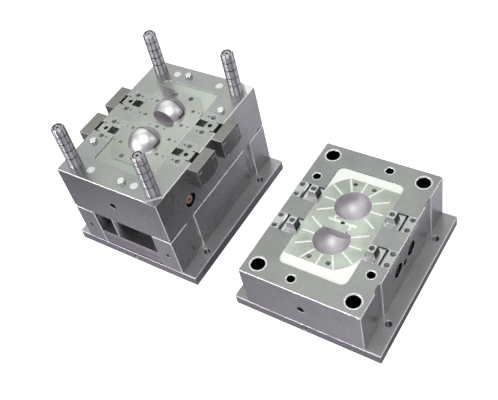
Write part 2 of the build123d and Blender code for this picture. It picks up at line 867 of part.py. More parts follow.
with BuildPart() as cavity_plate:
    add(cavity_blank)
    # The grooves of the outer side reach the parting face, those of the inner side stop below it.
    drill(cover_joint, bolt_points, bolt_groove_r, groove_top - cavity_plate_t)
    drill(cover_joint, [point for point in bolt_points if point[0] > 0], bolt_groove_r, -cavity_plate_t)
    with BuildSketch(cover_face):
        RectangleRounded(insert_w + 2 * seam, insert_l + 2 * seam, insert_r + seam)
    extrude(amount=-insert_t, mode=Mode.SUBTRACT)
    drill(cover_joint, [(0, 0)], sprue_bush_r + press_gap, -cavity_plate_t)
    drill(cover_joint, guide_points, guide_bush_r + press_gap, -cavity_plate_t)
    drill(cover_joint, guide_points, guide_bush_r + bush_collar_w + press_gap, -guide_collar_t)
    drill(cover_face, pinwheel(1), locator_bush_r + press_gap, locator_bush_depth)
    drill(cover_face, pinwheel(1), locator_relief_r, locator_relief_depth)
    # Stations of the locking heels, with a shallower seat for the wear plate at the open end.
    with BuildSketch(cover_face):
        with Locations(*four((wear_plate_in_x + slide_in_x) / 2, station_y)):
            Rectangle(wear_plate_in_x - slide_in_x, heel_station_w)
    extrude(amount=-heel_seat_depth, mode=Mode.SUBTRACT)
    with BuildSketch(cover_face):
        with Locations(*four(half_w - wear_plate_l / 2, station_y)):
            Rectangle(wear_plate_l, heel_station_w)
    extrude(amount=-wear_plate_t, mode=Mode.SUBTRACT)
    # Holes of the heel, wear plate, insert and clamp screws.
    tap(cover_face, four(window_x, station_y), heel_seat_depth)
    for row in wear_rows:
        tap(cover_face, four(wear_screw_x, row), wear_plate_t)
    tap(cover_face, insert_screw_points, insert_t)
    drill(cover_joint, clamp_screw_points, clamp_screw_r + 2 * press_gap, -clamp_screw_hold)
    # Lifting holes, a small hole beside them, pry slots and the two water ports.
    drill(front_plane(cover_x, clamp_t + cavity_plate_t / 2), [(0, 0)], lift_r, lift_depth)
    drill(cover_side(0, cover_lift_drop), [(0, 0)], lift_r, lift_depth)
    drill(cover_side(side_dot_y, side_dot_drop), [(0, 0)], side_dot_r, side_dot_depth)
    pry_slots(cover_joint, -1)
    for port in cover_ports:
        water_port(port)
finish(cavity_plate.part, "cavity_plate")


# Cavity insert: two bowls, the runner with its gates, the vents and the sprue.
def bowl(sy, flat):
    """Solid of one cavity; a flat cuts off its side towards the middle of the mould."""
    with BuildPart() as cast:
        with Locations((cover_x, sy * cavity_y, cover_face_z + ball_rise)):
            Sphere(cavity_r)
        if flat:
            limit = Plane(origin=(cover_x, sy * (cavity_y - cavity_flat), 0), z_dir=(0, sy, 0))
            split(bisect_by=limit, keep=Keep.TOP)
    return cast.part


far_bowl = bowl(1, False)
near_bowl = bowl(-1, True)

with BuildPart() as cavity_insert:
    add(cavity_block)
    add(far_bowl, mode=Mode.SUBTRACT)
    add(near_bowl, mode=Mode.SUBTRACT)
    # Vents leave each cavity like rays on the side away from the sprue.
    with BuildSketch(cover_face):
        for sy in (-1, 1):
            for step in range(vent_first, vent_last + 1):
                sideways = step * vent_pitch % 180 == 0
                reach = cavity_rim_r + (side_vent_l if sideways else vent_l)
                with Locations(Location((0, sy * cavity_y, 0), (0, 0, sy * step * vent_pitch))):
                    with Locations(((cavity_flat + reach) / 2, 0)):
                        Rectangle(reach - cavity_flat, vent_w)
    extrude(amount=-vent_depth, mode=Mode.SUBTRACT)
    # Runner along X with one gate to each cavity: to the rim of the far one, to the flat of the near one.
    rim_y = cavity_y - sqrt(cavity_rim_r**2 - (gate_x + gate_w / 2) ** 2)
    flat_y = cavity_y - cavity_flat
    with BuildSketch(cover_face):
        SlotOverall(2 * runner_half, runner_w)
        with Locations((-gate_x, rim_y / 2)):
            Rectangle(gate_w, rim_y)
        with Locations((gate_x, -flat_y / 2)):
            Rectangle(gate_w, flat_y)
    extrude(amount=-runner_depth, mode=Mode.SUBTRACT)
    drill(cover_face, [(0, 0)], sprue_r, insert_t)
finish(cavity_insert.part, "cavity_insert")
group(insert_screws(cover_x, cover_face_z), "cavity_insert_screws")


# Bushes of the guide pins and of the locating pins.
def guide_bush(x, y):
    foot = Plane((cover_x + x, y, clamp_t))
    with BuildPart() as bush:
        with BuildSketch(foot):
            Circle(guide_bush_r)
        extrude(amount=cavity_plate_t)
        with BuildSketch(foot):
            Circle(guide_bush_r + bush_collar_w)
        extrude(amount=guide_collar_t)
        drill(foot, [(0, 0)], guide_pin_r + running_gap, -cavity_plate_t)
        chamfer(bush.faces().sort_by(Axis.Z)[-1].inner_wires()[0].edges(), bush_lead)
        chamfer(bush.faces().sort_by(Axis.Z)[-1].outer_wire().edges(), bush_edge)
    return bush.part


for (name, sx, sy), (x, y) in zip(corners, guide_points):
    finish(guide_bush(x, y), f"guide_bush_{name}")

locator_bushes = []
for x, y in pinwheel(1):
    with BuildPart() as bush:
        with BuildSketch(Plane((cover_x + x, y, cover_face_z - locator_bush_depth))):
            Circle(locator_bush_r)
            Circle(locator_r + seam, mode=Mode.SUBTRACT)
        extrude(amount=locator_bush_depth)
        chamfer(bush.faces().sort_by(Axis.Z)[-1].inner_wires()[0].edges(), locator_lead)
        chamfer(bush.faces().sort_by(Axis.Z)[-1].outer_wire().edges(), bush_edge)
    locator_bushes.append(bush.part)
group(locator_bushes, "locating_bushes")


# Sprue bush: seated in the clamp plate and the cavity plate, its bore narrows towards the runner.
sprue_l = cover_face_z - insert_t
with BuildPart() as sprue_bush:
    with BuildSketch(cover_floor):
        Circle(sprue_bush_r)
    extrude(amount=sprue_l)
    with BuildSketch(cover_floor):
        Circle(sprue_entry_r)
    with BuildSketch(cover_floor.offset(sprue_l)):
        Circle(sprue_r)
    loft(mode=Mode.SUBTRACT)
finish(sprue_bush.part, "sprue_bush")


# Locking heels: a foot in the station and a wedge that stands above the parting face.
heel_in_x = slide_in_x + seam
heel_out_x = half_w - heel_inset


def heel(sx, sy):
    face = Plane((cover_x, sy * station_y, cover_face_z))
    top_l = window_l - 2 * heel_gap - 2 * heel_h * tan(radians(heel_taper))
    root_l = window_l - 2 * heel_gap + 2 * heel_ledge * tan(radians(heel_taper))
    wedge_w = window_w - 2 * heel_gap
    with BuildPart() as body:
        with BuildSketch(face.offset(-heel_seat_depth)):
            with Locations((sx * (heel_in_x + heel_out_x) / 2, 0)):
                Rectangle(heel_out_x - heel_in_x, heel_foot_w)
        extrude(amount=heel_seat_depth - heel_ledge)
        with BuildSketch(face.offset(-heel_ledge)):
            with Locations((sx * window_x, 0)):
                Rectangle(root_l, wedge_w)
        with BuildSketch(face.offset(heel_h)):
            with Locations((sx * window_x, 0)):
                Rectangle(top_l, wedge_w)
        loft()
        drill_screws(face.offset(heel_h), [(sx * window_x, 0)], heel_h + heel_seat_depth)
        dowel_point = (sx * (half_w - heel_dowel_inset), -heel_dowel_y)
        drill(face.offset(-heel_ledge), [dowel_point], heel_dowel_r, heel_dowel_depth)
    return body.part


# Wear plates close the outer ends of the stations, flush with the parting face.
def wear_plate(sx, sy):
    face = Plane((cover_x, sy * station_y, cover_face_z))
    with BuildPart() as plate:
        with BuildSketch(face):
            with Locations((sx * (half_w - wear_plate_l / 2), 0)):
                Rectangle(wear_plate_l, heel_foot_w)
        extrude(amount=-wear_plate_t)
        top = plate.faces().sort_by(Axis.Z)[-1]
        chamfer(top.edges().filter_by(Axis.Y).sort_by(Axis.X)[0 if sx > 0 else -1], wear_bevel)
        drill_screws(face, [(sx * wear_screw_x, side * wear_screw_y) for side in (-1, 1)], wear_plate_t)
    return plate.part


heel_screws = []
wear_screws = []
for name, sx, sy in corners:
    finish(heel(sx, sy), f"locking_heel_{name}")
    finish(wear_plate(sx, sy), f"wear_plate_{name}")
    heel_top = Plane((cover_x + sx * window_x, sy * station_y, cover_face_z + heel_h))
    heel_screws.append(socket_screw(heel_top, heel_h + heel_seat_depth))
    for row in wear_rows:
        wear_head = Plane((cover_x + sx * wear_screw_x, sy * row, cover_face_z))
        wear_screws.append(socket_screw(wear_head, wear_plate_t))
group(heel_screws, "heel_screws")
group(wear_screws, "wear_plate_screws")
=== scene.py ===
# %% [markdown]
# # A die casting mould, opened on the bench
# This lesson dresses a finished CAD model of a two-cavity die casting mould. The mould stands open:
# the ejector half on the left with its four guide pins and two ball cores, the cover half on the
# right with its two bowls. Every plate, pin and screw is a CAD node and keeps its shape. The work
# here is the steel: how each surface was machined, where hands and edges have worn it, and how a
# soft studio light falls on it.

# %% Load the mould
import bpy
from math import cos, radians, sin
from mathutils import Matrix, Vector

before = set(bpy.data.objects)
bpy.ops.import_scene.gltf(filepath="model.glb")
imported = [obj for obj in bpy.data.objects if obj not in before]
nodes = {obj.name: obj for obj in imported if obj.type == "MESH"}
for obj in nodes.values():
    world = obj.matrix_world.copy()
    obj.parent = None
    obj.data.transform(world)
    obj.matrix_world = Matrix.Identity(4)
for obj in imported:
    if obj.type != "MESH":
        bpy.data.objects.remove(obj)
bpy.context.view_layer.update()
bpy.ops.object.select_all(action="DESELECT")

# %% [markdown]
# ## Where the camera stands
# The photograph looks down on the mould from its near right corner, with the camera leaning a
# little to the left. A camera's place and turn can be set by hand, but here the three directions
# of its frame are worked out from an azimuth, an elevation and a roll, so each number can be
# changed by itself.

# %% Camera
azimuth = radians(43.206)
elevation = radians(47.629)
roll = radians(-15.311)
camera_place = (0.9224, -0.9990, 1.6230)
focal_length = 56.51

backward = Vector((sin(azimuth) * cos(elevation), -cos(azimuth) * cos(elevation), sin(elevation)))
sideways = Vector((cos(azimuth), sin(azimuth), 0.0))
upward = backward.cross(sideways)
frame_right = cos(roll) * sideways + sin(roll) * upward
frame_up = cos(roll) * upward - sin(roll) * sideways

bpy.ops.object.camera_add()
camera = bpy.context.object
camera.name = "camera"
camera.data.lens = focal_length
camera.data.sensor_width = 36.0
camera.data.sensor_fit = "HORIZONTAL"
turn = Matrix((frame_right, frame_up, backward)).transposed().to_4x4()
camera.matrix_world = Matrix.Translation(camera_place) @ turn
bpy.context.scene.camera = camera
print("camera looks along", [round(v, 3) for v in -backward])

# %% [markdown]
# ## Small helpers for nodes
# A finish, a floor or a room is a tree of nodes. In the node editor they are added and joined by
# hand. In code each node would need a line to add it and one more for every value and link, so a
# few short functions do that. A value given to them is either a plain number or the socket of
# another node, which is then linked.

# %% Node helpers
def place_node(tree, kind, **settings):
    """Adds one shader node and sets its properties."""
    made = tree.nodes.new(kind)
    for key, value in settings.items():
        setattr(made, key, value)
    return made


def feed(tree, socket, value):
    """Links another node's socket into a socket, or sets it to a plain value."""
    if isinstance(value, bpy.types.NodeSocket):
        tree.links.new(value, socket)
    else:
        socket.default_value = value


def parts_of(tree, where):
    """The three parts of a point or a direction, as sockets named X, Y and Z."""
    apart = place_node(tree, "ShaderNodeSeparateXYZ")
    tree.links.new(where, apart.inputs[0])
    return apart.outputs


def spread(tree, value, low, high, to_low=0.0, to_high=1.0):
    """Carries a value from one range to another and stops at the ends of the second."""
    step = place_node(tree, "ShaderNodeMapRange", clamp=True)
    feed(tree, step.inputs["Value"], value)
    limits = {"From Min": low, "From Max": high, "To Min": to_low, "To Max": to_high}
    for label, limit in limits.items():
        feed(tree, step.inputs[label], limit)
    return step.outputs["Result"]


def scaled(tree, colour, factor):
    """Makes a colour lighter or darker by a factor."""
    step = place_node(tree, "ShaderNodeVectorMath", operation="SCALE")
    feed(tree, step.inputs[0], colour)
    feed(tree, step.inputs["Scale"], factor)
    return step.outputs[0]


def colour_ramp(tree, value, stops):
    """Runs through colours while a value goes from 0 to 1; a stop is a place and a colour."""
    ramp = place_node(tree, "ShaderNodeValToRGB")
    elements = ramp.color_ramp.elements
    while len(elements) < len(stops):
        elements.new(0.5)
    for element, (place, colour) in zip(elements, stops):
        element.position = place
        element.color = (*colour, 1.0)
    tree.links.new(value, ramp.inputs["Fac"])
    return ramp.outputs["Color"]


def mirrored_or_seen(tree, mirrored, seen, surface):
    """Shows one shader to the steel that mirrors it and another one to the camera."""
    rays = place_node(tree, "ShaderNodeLightPath")
    either = place_node(tree, "ShaderNodeMixShader")
    tree.links.new(rays.outputs["Is Camera Ray"], either.inputs[0])
    tree.links.new(mirrored.outputs[0], either.inputs[1])
    tree.links.new(seen.outputs[0], either.inputs[2])
    tree.links.new(either.outputs[0], surface)


print("node helpers ready")

# %% [markdown]
# ## Floor
# The mould stands on a plain white sweep. Polished steel shows its surroundings more than its own
# colour, so what the floor sends to the steel matters as much as how it looks itself. The floor is
# white to the camera and a lilac grey paper to everything that mirrors it, which is what the shaded
# sides of the plates show. A Light Path node tells the two apart. The paper is not one tone: the
# photograph's right flank runs from nearly black at the near corner to bright at the far one, and
# its front faces darken to the left. Each face mirrors the strip of floor in front of it, so a ramp
# along Y paints these shades where the faces look, and a fade along X darkens them to the left.

# %% Floor
floor_size = 14.0
lilac = (0.94, 0.89, 1.0)
# Painted shade and light on the floor, seen only by the steel that mirrors it.
painted_shade_tones = [
    (0.0, 0.24), (0.08, 0.42), (0.20, 0.68), (0.27, 0.73),
    (0.34, 0.36), (0.50, 0.48), (0.65, 0.66), (0.85, 1.0),
]

bpy.ops.mesh.primitive_plane_add(size=floor_size, location=(0.0, 0.0, 0.0))
floor = bpy.context.object
floor.name = "studio_floor"

floor_finish = bpy.data.materials.new("pale_floor")
floor_finish.use_nodes = True
tree = floor_finish.node_tree
tree.nodes.clear()
spot = parts_of(tree, place_node(tree, "ShaderNodeTexCoord").outputs["Object"])
painted_shade_strips = colour_ramp(
    tree, spread(tree, spot["Y"], -0.5, 0.5), [(place, (grey, grey, grey)) for place, grey in painted_shade_tones]
)
faded = scaled(tree, painted_shade_strips, spread(tree, spot["X"], -0.62, -0.24, 0.66, 1.0))
tinted = place_node(tree, "ShaderNodeVectorMath", operation="MULTIPLY")
tinted.inputs[1].default_value = lilac
tree.links.new(faded, tinted.inputs[0])
paper = place_node(tree, "ShaderNodeBsdfDiffuse")
tree.links.new(tinted.outputs[0], paper.inputs["Color"])

white_sheet = place_node(tree, "ShaderNodeBsdfDiffuse")
white_sheet.inputs["Color"].default_value = (0.9, 0.9, 0.9, 1.0)
glow = place_node(tree, "ShaderNodeEmission")
glow.inputs["Color"].default_value = (1.0, 1.0, 1.0, 1.0)
glow.inputs["Strength"].default_value = 0.86
lit_sheet = place_node(tree, "ShaderNodeAddShader")
tree.links.new(white_sheet.outputs[0], lit_sheet.inputs[0])
tree.links.new(glow.outputs[0], lit_sheet.inputs[1])

floor_out = place_node(tree, "ShaderNodeOutputMaterial")
mirrored_or_seen(tree, paper, lit_sheet, floor_out.inputs["Surface"])
floor.data.materials.append(floor_finish)
print("floor laid")

# %% [markdown]
# ## Light
# Ground steel looks flat under a bare lamp, so the mould is lit by large softboxes. The first hangs
# behind the mould on the left, just where the parting faces mirror it into the camera. One in front
# lights the near faces, a smaller one behind on the right the far edges, and one overhead evens out
# the tops. The last is a tall and narrow strip, low in front, which draws the bright stripe down
# each guide pin.

# %% Lights
def softbox(name, place, aim, width, power, tint):
    """Adds a square area light at a place, turned to an aim point."""
    bpy.ops.object.light_add(type="AREA", location=place)
    box = bpy.context.object
    box.name = name
    box.data.size = width
    box.data.energy = power
    box.data.color = tint
    box.rotation_euler = (Vector(aim) - Vector(place)).to_track_quat("-Z", "Y").to_euler()
    return box


middle = (0.0, 0.0, 0.2)
pale_green = (0.95, 1.0, 0.93)
pale_lilac = (1.0, 0.98, 1.0)
near_white = (1.0, 0.99, 1.0)
softbox("key_softbox", (-2.2, 1.9, 3.0), middle, width=3.4, power=24.5, tint=pale_green)
softbox("front_softbox", (-1.7, -2.3, 1.5), middle, width=1.7, power=36.0, tint=pale_lilac)
softbox("rim_softbox", (2.4, 1.6, 1.7), (0.1, 0.0, 0.2), width=1.3, power=14.0, tint=near_white)
softbox("top_softbox", (0.9, -0.9, 3.2), (0.2, 0.0, 0.0), width=2.2, power=58.0, tint=near_white)
strip_light = softbox(
    "strip_light", (-0.45, -2.30, 0.62), (-0.26, 0.0, 0.36), width=0.08, power=17.0, tint=(1.0, 1.0, 1.0)
)
strip_light.data.shape = "RECTANGLE"
strip_light.data.size_y = 1.5

# %% [markdown]
# The room above is a grey with a touch of green, which is what flat steel that lies face up takes
# on. Away from the first softbox and towards the horizon the room gets dark. Only curved steel
# looks there, so this is what draws the dark flanks and outlines on pins, balls and bowls. The
# camera never sees that room: a Light Path node shows it a pale wall instead.

# %% Room
horizon_tone = (0.07, 0.065, 0.075)
ceiling_tone = (0.58, 0.62, 0.57)
key_direction = (-0.53, 0.46, 0.71)

room = bpy.data.worlds.new("studio_room")
bpy.context.scene.world = room
room.use_nodes = True
tree = room.node_tree
view_way = place_node(tree, "ShaderNodeTexCoord").outputs["Generated"]
dome = colour_ramp(tree, parts_of(tree, view_way)["Z"], [(0.30, horizon_tone), (0.58, ceiling_tone)])
towards_key = place_node(tree, "ShaderNodeVectorMath", operation="DOT_PRODUCT")
towards_key.inputs[1].default_value = key_direction
tree.links.new(view_way, towards_key.inputs[0])
around_key = spread(tree, towards_key.outputs["Value"], 0.50, 0.90, 0.30, 1.0)
room_light = tree.nodes["Background"]
room_light.inputs["Strength"].default_value = 0.84
tree.links.new(scaled(tree, dome, around_key), room_light.inputs["Color"])
pale_wall = place_node(tree, "ShaderNodeBackground")
pale_wall.inputs["Color"].default_value = (0.94, 0.94, 0.94, 1.0)
mirrored_or_seen(tree, room_light, pale_wall, tree.nodes["World Output"].inputs["Surface"])
bpy.context.scene.view_settings.view_transform = "Standard"
print("room lit")

# %% [markdown]
# ## Two effects that every steel shares
# Machined steel is never one colour. It has broad cloudy patches from heat and oil, fine streaks
# where the grinding wheel passed, and a tiny sparkle of grain. The same recipe serves every piece
# with other values, so it is built once as a node group, with named sockets. It only puts out a
# colour, a roughness and a height. The shader itself stays in each material.

# %% Group helpers
def new_group(name, inputs, outputs):
    """Empty shader node group with named sockets; colours are given as tuples."""
    group = bpy.data.node_groups.new(name, "ShaderNodeTree")
    for label, value in inputs.items():
        if label == "Vector":
            kind = "NodeSocketVector"
        elif isinstance(value, tuple):
            kind = "NodeSocketColor"
        else:
            kind = "NodeSocketFloat"
        socket = group.interface.new_socket(label, in_out="INPUT", socket_type=kind)
        if value is not None:
            socket.default_value = value
    for label, kind in outputs.items():
        group.interface.new_socket(label, in_out="OUTPUT", socket_type="NodeSocket" + kind)
    return group, group.nodes.new("NodeGroupInput"), group.nodes.new("NodeGroupOutput")


def maths(tree, operation, first, second=None):
    """Math node for one or two values."""
    step = place_node(tree, "ShaderNodeMath", operation=operation)
    feed(tree, step.inputs[0], first)
    if second is not None:
        feed(tree, step.inputs[1], second)
    return step.outputs[0]


def blend_colour(tree, share, first, second):
    """Mixes two colours; a share of one gives the second."""
    step = place_node(tree, "ShaderNodeMix", data_type="RGBA")
    factor, colour_a, colour_b = step.inputs[0], step.inputs[6], step.inputs[7]
    feed(tree, factor, share)
    feed(tree, colour_a, first)
    feed(tree, colour_b, second)
    return step.outputs[2]


def noise(tree, where, scale, detail):
    """Soft random pattern between 0 and 1."""
    step = place_node(tree, "ShaderNodeTexNoise")
    step.inputs["Detail"].default_value = detail
    feed(tree, step.inputs["Scale"], scale)
    tree.links.new(where, step.inputs["Vector"])
    return step.outputs["Fac"]


print("group helpers ready")

# %% Group: machined steel
grinding_streak = (12.0, 520.0, 520.0)
grain_size = 900.0
smudge_size = 24.0
grain_height = 0.35


def machined_steel():
    """Clouds, grinding streaks, smudges and grain of bare tool steel."""
    group, ins, outs = new_group(
        "machined_steel",
        {
            "Vector": None,
            "Light": (0.6, 0.6, 0.6, 1.0),
            "Dark": (0.5, 0.5, 0.5, 1.0),
            "Cloud size": 7.0,
            "Streak depth": 0.5,
            "Smooth": 0.25,
            "Rough": 0.40,
        },
        {"Color": "Color", "Roughness": "Float", "Height": "Float"},
    )
    where = ins.outputs["Vector"]
    cloud = spread(group, noise(group, where, ins.outputs["Cloud size"], detail=4.0), 0.35, 0.65)
    tone = blend_colour(group, cloud, ins.outputs["Dark"], ins.outputs["Light"])

    along = place_node(group, "ShaderNodeMapping")
    along.inputs["Scale"].default_value = grinding_streak
    group.links.new(where, along.inputs["Vector"])
    lines = noise(group, along.outputs[0], 1.0, detail=3.0)
    streak = maths(group, "MULTIPLY", lines, ins.outputs["Streak depth"])
    shade = spread(group, streak, 0.0, 1.0, 1.06, 0.90)
    group.links.new(scaled(group, tone, shade), outs.inputs["Color"])

    smudges = noise(group, where, smudge_size, detail=5.0)
    polish = spread(group, smudges, 0.35, 0.7, ins.outputs["Smooth"], ins.outputs["Rough"])
    group.links.new(polish, outs.inputs["Roughness"])

    grain = maths(group, "MULTIPLY", noise(group, where, grain_size, detail=2.0), grain_height)
    group.links.new(maths(group, "ADD", streak, grain), outs.inputs["Height"])
    return group


steel_group = machined_steel()
print("group", steel_group.name)

# %% [markdown]
# Edges tell the age of a mould. Each edge was broken with a file, and knocks have made it bright; the near
# white laid on it is also a painted highlight.
# A Bevel node works out a rounded normal near every edge of the piece, whatever its mesh is. Where
# that normal and the true one differ there is an edge. A noise breaks the mark up, so the wear
# comes and goes. The rounded normal goes out as well, since a broken edge catches light like a thin
# cylinder.

# %% Group: bright edges
knock_size = 60.0


def bright_edges():
    """Mask of worn edges, painted with wear and highlight, with the rounded normal that goes with it."""
    group, ins, outs = new_group(
        "bright_edges", {"Vector": None, "Width": 0.0012}, {"Edge": "Float", "Normal": "Vector"}
    )
    rounded = place_node(group, "ShaderNodeBevel", samples=6)
    group.links.new(ins.outputs["Width"], rounded.inputs["Radius"])
    true_normal = place_node(group, "ShaderNodeNewGeometry")
    likeness = place_node(group, "ShaderNodeVectorMath", operation="DOT_PRODUCT")
    group.links.new(rounded.outputs[0], likeness.inputs[0])
    group.links.new(true_normal.outputs["Normal"], likeness.inputs[1])
    bend = spread(group, likeness.outputs["Value"], 0.99, 0.91)
    knocks = noise(group, ins.outputs["Vector"], knock_size, detail=3.0)
    share = spread(group, knocks, 0.30, 0.62, 0.82, 1.0)
    group.links.new(maths(group, "MULTIPLY", bend, share), outs.inputs["Edge"])
    group.links.new(rounded.outputs[0], outs.inputs["Normal"])
    return group


edge_group = bright_edges()
print("group", edge_group.name)

# %% [markdown]
# ## The basic steel
# Most of the mould is tool steel, ground flat and left bare. One function lays the two groups into
# a material and leaves its parts open, so later steps can tint a face or darken a groove.

# %% Basic steel
# Near white of bare steel, which also stands for painted highlights on edges and lit floors.
bare_and_lit_white = (0.95, 0.95, 0.97)
edge_metallic = 0.4
grain_strength = 0.25


def steel(
    name, light, dark, smooth, rough,
    streaks=0.5, clouds=7.0, edge=0.0012, metallic=0.95, relief=0.0004, soften=True,
):
    """Machined steel between two tones and two roughnesses; soften rounds its edges in the light."""
    finish = bpy.data.materials.new(name)
    finish.use_nodes = True
    tree = finish.node_tree
    shader = tree.nodes["Principled BSDF"]
    where = place_node(tree, "ShaderNodeTexCoord").outputs["Object"]

    body = place_node(tree, "ShaderNodeGroup", node_tree=steel_group)
    tree.links.new(where, body.inputs["Vector"])
    body.inputs["Light"].default_value = (*light, 1.0)
    body.inputs["Dark"].default_value = (*dark, 1.0)
    body.inputs["Cloud size"].default_value = clouds
    body.inputs["Streak depth"].default_value = streaks
    body.inputs["Smooth"].default_value = smooth
    body.inputs["Rough"].default_value = rough
    tree.links.new(body.outputs["Roughness"], shader.inputs["Roughness"])

    rim = place_node(tree, "ShaderNodeGroup", node_tree=edge_group)
    tree.links.new(where, rim.inputs["Vector"])
    rim.inputs["Width"].default_value = edge
    # Worn edges are painted near white: bare steel and a painted highlight.
    worn_and_lit_edge = rim.outputs["Edge"]
    colour = blend_colour(tree, worn_and_lit_edge, body.outputs["Color"], (*bare_and_lit_white, 1.0))
    tree.links.new(colour, shader.inputs["Base Color"])
    tree.links.new(spread(tree, worn_and_lit_edge, 0.0, 1.0, metallic, edge_metallic), shader.inputs["Metallic"])

    dent = place_node(tree, "ShaderNodeBump")
    dent.inputs["Distance"].default_value = relief
    dent.inputs["Strength"].default_value = grain_strength
    tree.links.new(body.outputs["Height"], dent.inputs["Height"])
    if soften:
        tree.links.new(rim.outputs["Normal"], dent.inputs["Normal"])
    tree.links.new(dent.outputs[0], shader.inputs["Normal"])
    return finish


def dress(finish, *names):
    """Gives a material to CAD nodes."""
    for name in names:
        for slot in nodes[name].material_slots:
            slot.material = finish


def at_corners(piece):
    """Names of a piece's four nodes, one at each corner of its half."""
    return [piece + "_" + corner for corner in ("far_left", "far_right", "near_left", "near_right")]


print("basic steel ready")

# %% [markdown]
# ## Where a finish stops
# On a mould the finish changes with the cut: the floor of a milled step is brighter than the ground face
# beside it, with a painted highlight, a bowl is polished, and the bottom of a groove is painted dark
# as shade. These places are known from the drawing, so masks read them straight from the Object
# coordinates: a band of heights, or a distance from an axis or from the centre of a ball. An overlay
# then lays another colour and roughness over the steel where its mask is one.

# %% Masks
def point(finish):
    """The Object coordinates that a material already reads, as sockets."""
    return parts_of(finish.node_tree, finish.node_tree.nodes["Texture Coordinate"].outputs["Object"])


def facing(finish):
    """The three parts of the direction that a face looks in."""
    return parts_of(finish.node_tree, finish.node_tree.nodes["Texture Coordinate"].outputs["Normal"])


def both(tree, first, second):
    """One where two masks are one."""
    return maths(tree, "MULTIPLY", first, second)


def any_of(tree, first, second):
    """One where either of two masks is one."""
    return maths(tree, "MAXIMUM", first, second)


def below(tree, value, low, high):
    """One below two close limits and zero above them."""
    return spread(tree, value, low, high, 1.0, 0.0)


def between(tree, value, low, high, soft=0.0002):
    """One between two limits and zero outside them."""
    over_low = spread(tree, value, low - soft, low + soft)
    return both(tree, over_low, below(tree, value, high - soft, high + soft))


def size_of(tree, value):
    """A value without its sign."""
    return maths(tree, "ABSOLUTE", value)


def offset(tree, value, centre):
    """How far a value lies past a centre; less than zero before it."""
    return maths(tree, "SUBTRACT", value, centre)


def distance(tree, first, second):
    """Distance from an axis, given the two offsets from it."""
    squares = [maths(tree, "POWER", leg, 2.0) for leg in (first, second)]
    return maths(tree, "SQRT", maths(tree, "ADD", *squares))


def slanted(finish):
    """One on chamfers and other slanted faces, zero on faces square to the axes."""
    tree = finish.node_tree
    squareness = 0.0
    for part in facing(finish):
        squareness = maths(tree, "MAXIMUM", size_of(tree, part), squareness)
    return spread(tree, squareness, 0.93, 0.85)


def upright(finish):
    """One on upright faces, zero on faces that look up or down."""
    tree = finish.node_tree
    return spread(tree, size_of(tree, facing(finish)["Z"]), 0.35, 0.25)


print("masks ready")

# %% Overlays
def overlay(finish, mask, colour, rough, metallic=None):
    """Lays another colour and roughness over a material where a mask is one."""
    tree = finish.node_tree
    shader = tree.nodes["Principled BSDF"]
    under = shader.inputs["Base Color"].links[0].from_socket
    tree.links.new(blend_colour(tree, mask, under, (*colour, 1.0)), shader.inputs["Base Color"])
    under = shader.inputs["Roughness"].links[0].from_socket
    tree.links.new(spread(tree, mask, 0.0, 1.0, under, rough), shader.inputs["Roughness"])
    if metallic is not None:
        under = shader.inputs["Metallic"].links[0].from_socket
        tree.links.new(spread(tree, mask, 0.0, 1.0, under, metallic), shader.inputs["Metallic"])


def fade(finish, value, start, end, low, high):
    """Scales a material's colour from one factor to another while a value runs from start to end."""
    tree = finish.node_tree
    shader = tree.nodes["Principled BSDF"]
    under = shader.inputs["Base Color"].links[0].from_socket
    toned = scaled(tree, under, spread(tree, value, start, end, low, high))
    tree.links.new(toned, shader.inputs["Base Color"])


print("overlays ready")

# %% [markdown]
# ## Plates
# The plates are the bulk of the mould. They are ground flat, so they differ only a little, and the
# clamp plates were left a shade rougher. Fades along the axes of the mould paint shade on them: the core
# plate darkens towards the near end, the cover half's plate darkens to the left. The filed chamfers
# along the outer edges carry a painted highlight, and so does the floor of the lowered corner at the
# far end. Pockets and bores are painted dark as shade, since they mirror nothing but their own walls,
# and so is the clamp plate where the ejector plates lie over it.

# %% Plates: ejector half
core_x = -0.261
cover_x = 0.261
clamp_top = 0.030
core_floor = 0.156
core_top = 0.300
cover_top = 0.164
edge_band = 0.002
rim_along = 0.223
rim_across = 0.158
rim_soft = 0.0001
# Near black for painted shade in bores and pockets, also used for the dark joint of the ejector plates.
hollow_shade_and_joint_dark = (0.04, 0.04, 0.045)
# Near black for painted shade in pockets.
pocket_shade = (0.05, 0.05, 0.055)
# Near black for painted shade under plates, in bores and on faces turned from the light.
deep_shade = (0.03, 0.03, 0.035)
plate_look = {
    "light": (0.40, 0.40, 0.40),
    "dark": (0.35, 0.35, 0.36),
    "smooth": 0.23,
    "rough": 0.32,
    "metallic": 0.85,
    "edge": 0.0022,
}


def outer_chamfers(finish, across, along, height, levels):
    """One on the chamfers round the outside of a plate and at its levels, zero on those inside it."""
    tree = finish.node_tree
    past_ends = spread(tree, along, rim_along - rim_soft, rim_along + rim_soft)
    past_sides = spread(tree, across, rim_across - rim_soft, rim_across + rim_soft)
    skin = any_of(tree, past_ends, past_sides)
    for level in levels:
        skin = any_of(tree, skin, between(tree, height, level - edge_band, level + edge_band))
    return both(tree, slanted(finish), skin)


core_plate_steel = steel("core_plate_steel", **plate_look)
tree = core_plate_steel.node_tree
x, y, z = point(core_plate_steel)
# Painted shade: the core plate darkens towards the near end.
fade(core_plate_steel, y, start=-0.22, end=-0.05, low=0.88, high=0.98)
across = size_of(tree, offset(tree, x, core_x))
chamfers = outer_chamfers(core_plate_steel, across, size_of(tree, y), z, (core_top, core_floor, clamp_top))
# Painted highlight on the filed outer chamfers.
overlay(core_plate_steel, chamfers, bare_and_lit_white, rough=0.25, metallic=0.3)
# Painted highlight on the floor of the far lowered corner.
lowered_corner_highlight = both(tree, between(tree, z, 0.2966, 0.2974), spread(tree, y, -0.1, 0.1))
overlay(core_plate_steel, lowered_corner_highlight, bare_and_lit_white, rough=0.30, metallic=0.3)

